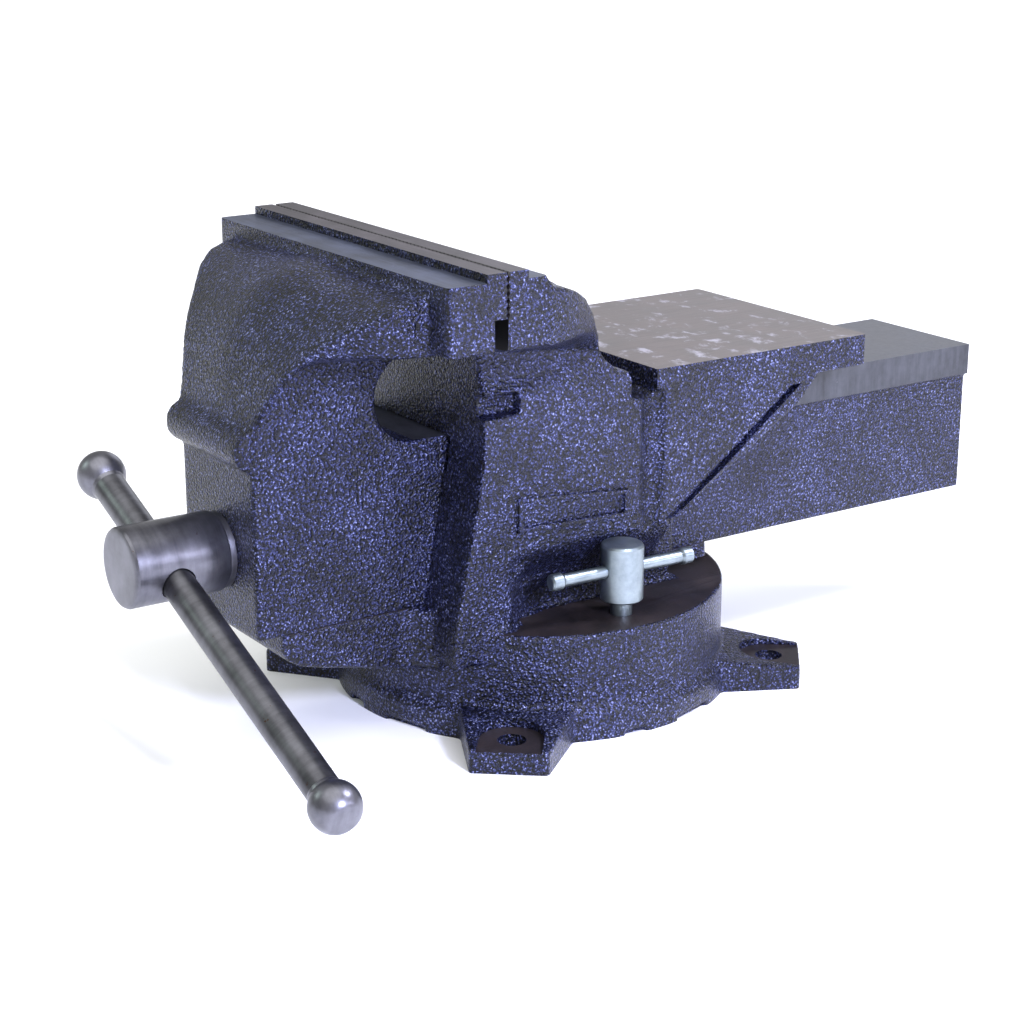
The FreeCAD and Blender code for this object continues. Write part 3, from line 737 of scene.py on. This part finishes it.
def make_fixed_body():
    bm = bmesh.new()
    for rows in (TRUNK_LOW, TRUNK, WALLS, HEEL):
        tower(bm, rows)
    prism(bm, HEAD, "x", -59.0, 59.0)
    jaw = [
        (GAP_Y - 2, JAW_BOTTOM),
        (-58.6, JAW_BOTTOM),
        (-58.6, JAW_TOP - 5.0),
        (-62.4, JAW_TOP + 0.4),
        (-62.4, JAW_TOP + 2),
        (GAP_Y - 2, JAW_TOP + 2),
    ]
    prism(bm, jaw, "x", -JAW_HALF, JAW_HALF)
    loft(bm, [wing(*row) for row in FIXED_WING])
    loft(bm, [wing(*row) for row in UNDER_WING])
    rod(bm, DRUM_R, (0, 0, JOINT_Z - 2), (0, 0, DRUM_TOP + 0.7), segments=160)
    prism(bm, BED, "x", -SLIDE_HALF, SLIDE_HALF)
    cheek = [
        (-46.0, -82.0),
        (-36.0, -90.0),
        (-33.0, -100.0),
        (33.0, -100.0),
        (36.0, -90.0),
        (46.0, -82.0),
    ]
    prism(bm, cheek, "z", 31.0, BED_TOP)
    block(bm, -BODY_HALF, BODY_HALF, ANVIL_FRONT, ANVIL_BACK, ANVIL_UNDER, ANVIL_TOP + 2)
    block(bm, -BODY_HALF, BODY_HALF, -40, ANVIL_FRONT, 138, 147.8)
    hollows = [tool(block, -70, 70, COLUMN_BACK, ANVIL_FRONT, 147.8, ANVIL_TOP + 8)]
    for side in (-1, 1):
        hollows.append(tool(rod, 9.0, (side * GUTTER_X, GUTTER_Y, 69.0), (side * GUTTER_X, GUTTER_Y, 150.0)))
        pocket = sorted((side * 58.6, side * (BODY_HALF + 9)))
        hollows.append(tool(block, *pocket, -80.0, -52.0, 150.4, 160.0))
        hollows.append(alcove(side))
    wide = JAW_HALF + 9
    milling = [
        tool(block, -wide, wide, -130, -40, JAW_TOP, JAW_TOP + 30),
        tool(block, -wide, wide, -130, GAP_Y + PLATE_THICK, PLATE_BOTTOM, JAW_TOP + 30),
        tool(block, -wide, wide, -130, GAP_Y, JAW_BOTTOM - 1.5, PLATE_BOTTOM + 1),
        tool(block, -wide, wide, ANVIL_FRONT - 12, ANVIL_BACK + 9, ANVIL_TOP, ANVIL_TOP + 9),
        tool(block, -SLIDE_HALF - PLAY, SLIDE_HALF + PLAY, -200, 200, BED_TOP, 130),
        tool(block, -RAIL_HALF - PLAY, RAIL_HALF + PLAY, -200, 200, RAIL_BOTTOM - PLAY, SLIDE_TOP + PLAY),
        tool(block, -wide, wide, -90, 90, JOINT_Z - 9, JOINT_Z),
    ]
    for side in (-1, 1):
        milling.append(tool(prism, GROOVE, "x", *sorted((side * 61.0, side * (BODY_HALF + 1)))))
        milling.append(tool(rod, 5.3, (side * LOCK_X, 0, 0), (side * LOCK_X, 0, 60)))
        for x0, y0, y1 in ((51.0, -46.0, 95.0), (64.6, -76.0, -45.0)):
            ledge = sorted((side * x0, side * 95.0))
            milling.append(tool(block, *ledge, y0, y1, DRUM_TOP, DRUM_TOP + 2.5))
    milling.append(tool(block, -60, 60, 52.0, 95.0, DRUM_TOP, DRUM_TOP + 2.5))
    obj = cast("fixed_jaw_casting", bm, hollows, milling)
    use(obj, enamel, machined, ground, stained, gap_shade)
    far = (wide, 300, 300)
    mill_marks(
        obj,
        [
            (ground, Z, JAW_TOP, (-wide, -130, 0), far),
            (machined, Z, ANVIL_TOP, (-wide, 10, 0), far),
            (stained, Z, DRUM_TOP, (-wide, -95, 0), far),
            # painted shade on the face of the gap below the plate
            (gap_shade, Y, GAP_Y, (-wide, -100, JAW_BOTTOM - 2), far),
            (machined, X, SLIDE_HALF + PLAY, (0, -200, 0), far),
            (machined, X, -SLIDE_HALF - PLAY, (-60, -200, 0), far),
            (machined, Z, BED_TOP, (-60, -200, 0), far),
        ],
    )
    return obj


# ---- swivel base ------------------------------------------------------------------------
SPOT_R = 14.6             # machined seat round each bench bolt
SPOT_Z = 10.2
BOLT_HOLE_R = 6.5
LUG_WIDE, LUG_NARROW = 29.0, 17.5
LUG_ROOT = 76.0
RIM_TOP, RIM_FLAT = 16.0, 11.7
FACE_Z = 24.9             # turned face that the drum rides on
SLOT_NECK = (65.4, 76.6)  # inner and outer radius of the T slot
SLOT_FOOT = (62.0, 80.0)
CORE = (31.0, 57.0)       # hollow between hub and slot
NOTCHES = ((-5.0, 11.5), (17.1, 23.3))  # fettling marks under the rim: (degrees, width)


def make_base():
    bm = bmesh.new()
    rod(bm, BASE_R, (0, 0, -2), (0, 0, RIM_FLAT), segments=160)
    rod(bm, BASE_R, (0, 0, RIM_FLAT), (0, 0, RIM_TOP), segments=160, tip=DRUM_R)
    rod(bm, DRUM_R, (0, 0, 5), (0, 0, JOINT_Z + 2), segments=160)
    hollows = []
    milling = [tool(block, -200, 200, -200, 200, *span) for span in ((-9, 0), (FACE_Z, 40))]
    for n in range(4):
        angle = math.radians(LUG_TURN + 45 + 90 * n)
        low = [
            (LUG_ROOT, -LUG_WIDE),
            (LUG_OUT, -LUG_NARROW),
            (LUG_OUT, LUG_NARROW),
            (LUG_ROOT, LUG_WIDE),
        ]
        foot = [Vector((x, y, -2)) for x, y in low]
        top = [Vector((x, y, 17.0 if x < 100 else 11.0)) for x, y in low]
        before = set(bm.verts)
        loft(bm, [foot, top])
        turned(bm, (0, 0, 0), angle, [v for v in bm.verts if v not in before])
        spot = bmesh.new()
        rod(spot, SPOT_R, (HOLE_RING_R, 0, SPOT_Z), (HOLE_RING_R, 0, 40))
        turned(spot, (0, 0, 0), angle)
        opening = bmesh.new()
        block(opening, HOLE_RING_R, LUG_OUT + 9, -SPOT_R, SPOT_R, SPOT_Z, 40)
        turned(opening, (0, 0, 0), angle)
        hole = bmesh.new()
        rod(hole, BOLT_HOLE_R, (HOLE_RING_R, 0, -9), (HOLE_RING_R, 0, 40))
        turned(hole, (0, 0, 0), angle)
        milling += [spot, opening, hole]
        for turn, wide in NOTCHES:
            notch = bmesh.new()
            block(notch, 92.6, 104, -wide / 2, wide / 2, -9, 2.4)
            turned(notch, (0, 0, 0), math.radians(turn + 90 * n))
            hollows.append(notch)
    milling.append(tool(ring, *SLOT_NECK, 8, 30))
    milling.append(tool(ring, *SLOT_FOOT, 6, 9))
    milling.append(tool(ring, *CORE, -9, 24))
    milling.append(tool(rod, 22.0, (0, 0, -9), (0, 0, 10)))
    milling.append(tool(rod, 10.1, (0, 0, -9), (0, 0, 40)))
    milling.append(tool(rod, 12.5, (0, -LOCK_X, -9), (0, -LOCK_X, 7)))
    obj = cast("swivel_base_casting", bm, hollows, milling, 3)
    use(obj, enamel, machined, stained)
    far = (200, 200, 50)
    low = (-200, -200, -1)
    planes = [(machined, Z, 0.0), (machined, Z, FACE_Z), (stained, Z, SPOT_Z)]
    mill_marks(obj, [(*plane, low, far) for plane in planes])
    return obj


# ---- jaw plates -------------------------------------------------------------------------
def make_jaw_plate(name, face, sign):
    """Steel plate with a gripping face of small pyramids; sign is the side its casting is on."""
    cell, depth = 3.0, 0.9
    columns, rows = 67, 8
    bm = bmesh.new()
    bmesh.ops.create_grid(bm, x_segments=columns, y_segments=rows, size=1)
    bmesh.ops.scale(bm, verts=bm.verts, vec=(columns * cell / 2, rows * cell / 2, 1))
    bmesh.ops.poke(bm, faces=bm.faces, offset=depth)
    turn = Matrix.Rotation(math.radians(90 * sign), 3, "X")
    bmesh.ops.rotate(bm, verts=bm.verts, cent=(0, 0, 0), matrix=turn)
    middle = Vector((0.7, face + sign * depth, (PLATE_TOP + PLATE_BOTTOM) / 2 + 0.8))
    bmesh.ops.translate(bm, verts=bm.verts, vec=middle)
    for place, normal in (
        ((JAW_HALF, 0, 0), (1, 0, 0)),
        ((-JAW_HALF, 0, 0), (-1, 0, 0)),
        ((0, 0, PLATE_TOP), (0, 0, 1)),
        ((0, 0, PLATE_BOTTOM), (0, 0, -1)),
    ):
        everything = list(bm.verts) + list(bm.edges) + list(bm.faces)
        bmesh.ops.bisect_plane(bm, geom=everything, plane_co=place, plane_no=normal, clear_outer=True)
    rim = [edge for edge in bm.edges if edge.is_boundary]
    grown = bmesh.ops.extrude_edge_only(bm, edges=rim)["geom"]
    for vert in grown:
        if isinstance(vert, bmesh.types.BMVert):
            vert.co.y = face + sign * PLATE_THICK
    bmesh.ops.holes_fill(bm, edges=[e for e in bm.edges if e.is_boundary], sides=0)
    obj = to_object(name, bm)
    for x in (-62.0, 62.0):
        spot = Vector((x, face, 210.0))
        step = Vector((0, sign, 0))
        carve(obj, tool(rod, 7.5, spot - step * 0.01, spot + step * 4, tip=4.3))
        carve(obj, tool(rod, 4.3, spot - step, spot + step * 20))
    use(obj, enamel, plate_steel)
    mill_marks(obj, [(plate_steel, Z, PLATE_TOP, (-200, -200, 0), (200, 200, 300))])
    for polygon in obj.data.polygons:
        if abs(polygon.center.y / MM - face) < 1.2 and abs(polygon.center.x / MM) < JAW_HALF - 0.01:
            polygon.material_index = 1
    finish_shading(obj, 20)
    return obj


def make_name_frame():
    """Raised rectangular border on the side of the trunk, left blank."""
    bm = bmesh.new()
    loops = []
    for corners in (
        ((-53.2, 95.8), (7.5, 93.3), (7.4, 106.3), (-53.4, 111.9)),
        ((-51.0, 98.0), (5.2, 95.6), (5.1, 104.4), (-51.1, 109.6)),
    ):
        verts = [bm.verts.new((63.6, y, z)) for y, z in corners]
        loops += [bm.edges.new((verts[n - 1], verts[n])) for n in range(4)]
    band = bmesh.ops.bridge_loops(bm, edges=loops)["faces"]
    grown = bmesh.ops.extrude_face_region(bm, geom=band)["geom"]
    raised = [g for g in grown if isinstance(g, bmesh.types.BMVert)]
    bmesh.ops.translate(bm, verts=raised, vec=(2.6, 0, 0))
    rim = [e for e in bm.edges if all(v.co.x > 66 for v in e.verts) and e.calc_face_angle(0) > 0.5]
    bmesh.ops.bevel(bm, geom=rim, offset=0.7, segments=3, profile=0.5, affect="EDGES", material=-1)
    obj = to_object("name_frame", bm)
    use(obj, enamel)
    finish_shading(obj, 40)
    return obj


# ---- screw, handle and lock bolts -------------------------------------------------------
def make_screw():
    bm = bmesh.new()
    head = HEAD_BACK - HEAD_FRONT
    profile = [(0, 0)] + [(0.12 * (n % 2), n * 1.4) for n in range(1, 12)]
    profile += [
        (0.15, HEAD_R - 1.9),
        (0.6, HEAD_R - 0.7),
        (1.7, HEAD_R),
        (head - 1.4, HEAD_R),
        (head - 0.4, HEAD_R - 0.5),
        (head, HEAD_R - 1.4),
        (head, SCREW_R),
        (84.0, SCREW_R),
        (85.5, SCREW_R - 2.6),
        (SCREW_END - HEAD_FRONT - 2, SCREW_R - 2.6),
        (SCREW_END - HEAD_FRONT + 4, SCREW_R - 4),
        (SCREW_END - HEAD_FRONT + 4, 0),
    ]
    lathe(bm, profile, (0, HEAD_FRONT, SCREW_Z), (0, 1, 0), segments=96)
    obj = to_object("lead_screw", bm)
    direction = Vector((math.cos(BAR_DROP), 0, -math.sin(BAR_DROP)))
    centre = Vector((0, BAR_Y, SCREW_Z))
    carve(obj, tool(rod, BAR_R + 0.5, centre - direction * 40, centre + direction * 40))
    use(obj, steel)
    finish_shading(obj, 30)
    return obj


def make_thread():
    """Square-shouldered thread ridge wound round the screw core."""
    bm = bmesh.new()
    core = SCREW_R - 2.8
    start = -128.0
    turns = int((SCREW_END - 4 - start) / THREAD_PITCH)
    profile = [(0.0, core), (0.6, SCREW_R), (2.6, SCREW_R), (3.2, core)]
    verts = [bm.verts.new((r, start + d, SCREW_Z)) for d, r in profile]
    edges = [bm.edges.new((verts[n - 1], verts[n])) for n in range(4)]
    steps = 28 * turns
    bmesh.ops.spin(
        bm,
        geom=verts + edges,
        cent=(0, 0, SCREW_Z),
        axis=(0, -1, 0),
        dvec=(0, THREAD_PITCH / 28, 0),
        angle=-math.tau * turns,
        steps=steps,
    )
    bmesh.ops.holes_fill(bm, edges=bm.edges, sides=4)
    obj = to_object("screw_thread", bm)
    use(obj, steel)
    finish_shading(obj, 30)
    return obj


def bar_point(distance):
    direction = Vector((math.cos(BAR_DROP), 0, -math.sin(BAR_DROP)))
    return Vector((0, BAR_Y, SCREW_Z)) + direction * distance, direction


def make_handle_bar():
    start, direction = bar_point(-BAR_UP + 4)
    length = BAR_UP + BAR_DOWN - 8
    bm = bmesh.new()
    lathe(bm, [(0, 0), (0, BAR_R), (length, BAR_R), (length, 0)], start, direction, segments=64)
    obj = to_object("sliding_bar", bm)
    use(obj, bar_steel)
    finish_shading(obj, 30)
    return obj


def make_ball(name, distance, outward):
    """Ball end upset on the bar: short collar, round body and a flat turned end."""
    centre, direction = bar_point(distance)
    direction = direction * outward
    profile = [
        (-BALL_R + 0.4, 0),
        (-BALL_R + 0.4, BAR_R - 0.4),
        (-8.6, BAR_R + 0.3),
        (-7.6, BAR_R + 0.5),
    ]
    for n in range(3, 25):
        angle = math.pi * (1 - n / 28)
        along_bar, radius = BALL_R * math.cos(angle), BALL_R * math.sin(angle)
        if along_bar > -7.2 and along_bar < BALL_R - 2.6:
            profile.append((along_bar, radius))
    profile += [(BALL_R - 2.4, 6.6), (BALL_R - 2.2, 5.8), (BALL_R - 2.2, 0)]
    bm = bmesh.new()
    lathe(bm, profile, centre, direction, segments=64)
    obj = to_object(name, bm)
    use(obj, steel)
    finish_shading(obj, 26)
    return obj


def lock_object(name, bm, side):
    turned(bm, (LOCK_X, 0, 0), -TOMMY_TURN)
    if side < 0:
        mirrored(bm)
    obj = to_object(name, bm)
    use(obj, zinc)
    finish_shading(obj, 28)
    return obj


def make_lock_bolt(name, side):
    """Cylinder-headed bolt with a cross hole for its tommy bar."""
    profile = [
        (7.0, 0),
        (7.0, 3.6),
        (7.8, 4.4),
        (21.0, 4.4),
        (21.0, 5.0),
        (56.4, 5.0),
        (56.4, 9.0),
        (57.3, 10.0),
        (82.2, 10.0),
        (83.2, 9.4),
        (83.6, 8.6),
        (83.6, 0),
    ]
    bm = bmesh.new()
    lathe(bm, profile, (LOCK_X, 0, 0), (0, 0, 1), segments=64)
    obj = to_object(name, bm)
    carve(obj, tool(rod, 3.3, (LOCK_X, -20, TOMMY_Z), (LOCK_X, 20, TOMMY_Z), segments=32))
    mesh = bmesh.new()
    mesh.from_mesh(obj.data)
    bmesh.ops.scale(mesh, verts=mesh.verts, vec=(1000, 1000, 1000))
    bpy.data.objects.remove(obj)
    return lock_object(name, mesh, side)


def make_tommy_bar(name, side):
    """Tommy bar with both ends upset into short collars."""
    half = TOMMY_HALF
    profile = [
        (-half, 0),
        (-half, 2.9),
        (-half + 0.7, 3.8),
        (-half + 5.4, 4.0),
        (-half + 6.3, 3.4),
        (-half + 6.7, 3.0),
        (half - 6.7, 3.0),
        (half - 6.3, 3.4),
        (half - 5.4, 4.0),
        (half - 0.7, 3.8),
        (half, 2.9),
        (half, 0),
    ]
    bm = bmesh.new()
    lathe(bm, profile, (LOCK_X, 0, TOMMY_Z), (0, 1, 0), segments=40)
    return lock_object(name, bm, side)


# ---- assemble ---------------------------------------------------------------------------
def fit(obj, body, slot, *nodes):
    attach(obj, body)
    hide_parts(*nodes)


fit(make_moving_jaw(), "jaw", "paint", "moving_jaw")
fit(make_fixed_body(), "swivel_body", "paint", "fixed_jaw_body")
fit(make_base(), "base", "paint", "swivel_base")
fit(make_jaw_plate("moving_plate", GAP_Y - 0.3, -1), "jaw", "plate_steel", "moving_jaw_plate")
fit(make_jaw_plate("fixed_plate", GAP_Y, 1), "swivel_body", "plate_steel", "fixed_jaw_plate")
fit(make_name_frame(), "swivel_body", "paint", "fixed_jaw_body")
fit(make_screw(), "screw", "turned_steel", "main_screw")
fit(make_thread(), "screw", "turned_steel", "main_screw")
fit(make_handle_bar(), "bar", "turned_steel", "handle_bar")
fit(make_ball("ball_far", -BAR_UP, -1), "bar", "turned_steel", "handle_ball_far")
fit(make_ball("ball_near", BAR_DOWN, 1), "bar", "turned_steel", "handle_ball_near")
for word, side in (("right", 1), ("left", -1)):
    bolt = make_lock_bolt("clamp_bolt_" + word, side)
    fit(bolt, "lock_" + word, "zinc", "lock_bolt_" + word)
    tommy = make_tommy_bar("cross_bar_" + word, side)
    fit(tommy, "tommy_" + word, "zinc", "tommy_bar_" + word, "tommy_caps_" + word)

CARRIED = {
    "fixed_plate_screws": dark_steel,
    "moving_plate_screws": dark_steel,
    "lead_nut": bronze,
    "nut_bolts": dark_steel,
    "pivot_bolt": dark_steel,
    "pivot_washer": dark_steel,
    "t_nut_right": dark_steel,
    "t_nut_left": dark_steel,
    "thrust_washer": steel,
    "retaining_collar": steel,
    "collar_pin": steel,
}
for name, finish in CARRIED.items():
    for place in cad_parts[name].material_slots:
        place.material = finish

# ---- stage, light and camera ------------------------------------------------------------
floor_mesh = bmesh.new()
bmesh.ops.create_grid(floor_mesh, x_segments=1, y_segments=1, size=60000)
floor = to_object("floor", floor_mesh)
pale, pale_tree, pale_shader = material("pale_floor")
pale_shader.inputs["Base Color"].default_value = linear("#fcfcfc")
pale_shader.inputs["Roughness"].default_value = 0.9
use(floor, pale)

world = bpy.data.worlds.new("studio")
bpy.context.scene.world = world
world.use_nodes = True
world.node_tree.nodes["Background"].inputs["Color"].default_value = (1, 1, 1, 1)
world.node_tree.nodes["Background"].inputs["Strength"].default_value = 0.5


def softbox(name, place, target, size, power, colour):
    light = bpy.data.lights.new(name, "AREA")
    light.shape = "RECTANGLE"
    light.size, light.size_y = size
    light.energy = power
    light.color = linear(colour)[:3]
    obj = bpy.data.objects.new(name, light)
    obj.location = place
    obj.rotation_euler = (Vector(target) - Vector(place)).to_track_quat("-Z", "Y").to_euler()
    bpy.context.scene.collection.objects.link(obj)


softbox("key", (1.55, -0.1, 0.85), (0.03, 0.0, 0.12), (0.22, 0.22), 38, "#d9ddff")
softbox("side_fill", (1.6, -0.3, 0.9), (0, 0.0, 0.1), (0.6, 0.6), 6, "#c8ccff")
softbox("front", (-1.15, -1.2, 0.95), (0, -0.12, 0.14), (0.6, 0.6), 4, "#e8fff0")
softbox("back", (-1.2, 1.3, 0.9), (0, 0.1, 0.15), (0.9, 0.9), 4, "#eef1ff")
softbox("glint", (0.5, 0.8, 1.15), (0.04, -0.02, 0.16), (0.25, 0.25), 17, "#e6e8ff")
softbox("kick", (1.35, 0.95, 0.6), (0.02, -0.1, 0.1), (0.3, 0.3), 6, "#e3e4ff")

overhead = bpy.data.lights.new("overhead", "SUN")
overhead.energy = 2.0
overhead.angle = math.radians(70)
lamp = bpy.data.objects.new("overhead", overhead)
lamp.rotation_euler = (math.radians(12), math.radians(8), 0)
bpy.context.scene.collection.objects.link(lamp)

camera = bpy.data.cameras.new("camera")
camera.sensor_width = 36.0
camera.lens = 77.76
camera.clip_start = 0.05
eye = bpy.data.objects.new("camera", camera)
eye.location = (0.83356, -0.57697, 0.39830)
gaze = Vector((-0.789845, 0.534945, -0.299964))
eye.rotation_euler = gaze.to_track_quat("-Z", "Y").to_euler()
bpy.context.scene.collection.objects.link(eye)
bpy.context.scene.camera = eye
bpy.context.scene.view_settings.view_transform = "Standard"
